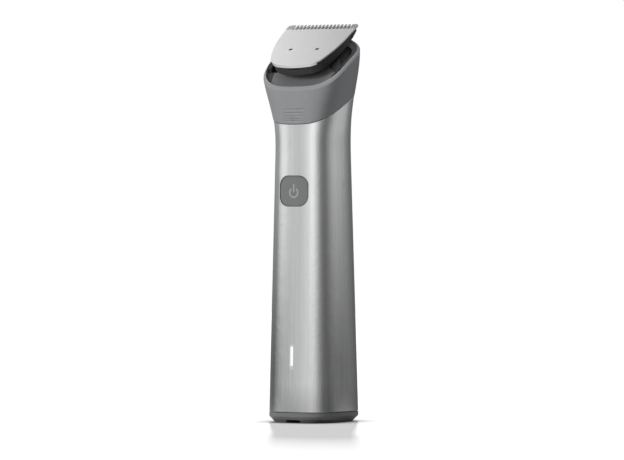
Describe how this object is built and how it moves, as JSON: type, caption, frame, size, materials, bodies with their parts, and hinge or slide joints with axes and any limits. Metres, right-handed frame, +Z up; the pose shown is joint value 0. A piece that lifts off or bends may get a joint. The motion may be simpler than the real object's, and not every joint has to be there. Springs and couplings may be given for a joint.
{
  "type": "beard trimmer",
  "caption": "Cordless beard trimmer standing on its base: brushed steel handle, grey collar, removable head with a slanted toothed blade, power button and light slit.",
  "frame": {"origin": "the middle of the flat face of the base cap that the trimmer stands on", "axes": "+Z up along the handle, -Y to the front with the power button, +X to the right seen from the front"},
  "size_m": [0.0396, 0.0364, 0.1643],
  "materials": {
    "brushed_sleeve": "fine lengthwise brushed steel",
    "grey_collar": "satin dark grey",
    "deck_grey": "matt dark grey",
    "black_plastic": "matt black",
    "cap_grey": "satin dark grey",
    "seal_rubber": "matt",
    "contact_metal": "plain",
    "chassis_plastic": "matt",
    "screw_steel": "plain",
    "cell_wrap": "heat-shrink wrap",
    "board_green": "solder mask",
    "switch_black": "matt",
    "plunger_white": "matt",
    "led_clear": "clear",
    "window_white": "lit from behind",
    "button_grey": "soft satin grey",
    "icon_grey": "pale grey-green",
    "motor_steel": "plated",
    "magnet_black": "sintered",
    "armature_copper": "wound",
    "shaft_steel": "ground",
    "drive_white": "moulded",
    "blade_steel": "satin",
    "cutter_steel": "ground",
    "spring_steel": "plain"
  },
  "bodies": {
    "handle": {"steel_sleeve": "brushed_sleeve", "collar": "grey_collar", "base_cap": "cap_grey", "base_seal": "seal_rubber", "charge_socket": "black_plastic", "charge_pins": "contact_metal", "chassis_front": "chassis_plastic", "chassis_rear": "chassis_plastic", "chassis_screws": "screw_steel", "battery_cell": "cell_wrap", "battery_tabs": "contact_metal", "circuit_board": "board_green", "tact_switch": "switch_black", "status_led": "led_clear", "light_guide": "window_white", "button_seal": "seal_rubber", "motor_can": "motor_steel", "motor_end_cap": "black_plastic", "motor_magnets": "magnet_black", "motor_bracket": "motor_steel", "motor_screws": "screw_steel", "motor_leads": "contact_metal", "head_deck": "deck_grey", "bay_liner": "black_plastic", "shaft_seal": "seal_rubber"},
    "rotor": {"motor_shaft": "shaft_steel", "motor_armature": "armature_copper", "eccentric_drive": "drive_white"},
    "button": {"power_button": "button_grey", "power_icon": "icon_grey"},
    "plunger": {"switch_plunger": "plunger_white"},
    "head": {"guard_blade": "blade_steel", "head_shell": "black_plastic", "tension_spring": "spring_steel", "blade_rivets": "black_plastic"},
    "cutter": {"cutter_blade": "cutter_steel", "cutter_carrier": "drive_white"}
  },
  "joints": [
    {"name": "head_release", "type": "slide", "parent": "handle", "child": "head", "axis": [0, 0, 1], "range_m": [0, 0.03]},
    {"name": "cutter_stroke", "type": "slide", "parent": "head", "child": "cutter", "axis": [1, 0, 0], "range_m": [-0.0008, 0.0008]},
    {"name": "drive_spin", "type": "hinge", "parent": "handle", "child": "rotor", "pos_m": [0, -0.0005, 0.12], "axis": [0, 0, 1], "continuous": true},
    {"name": "button_press", "type": "slide", "parent": "handle", "child": "button", "axis": [0, 1, 0], "range_m": [0, 0.0005], "stiffness_N_per_m": 1500},
    {"name": "plunger_press", "type": "slide", "parent": "handle", "child": "plunger", "axis": [0, 1, 0], "range_m": [0, 0.00025]}
  ],
  "couplings": [
    {"joint": "plunger_press", "follows": "button_press", "ratio": 0.5}
  ]
}
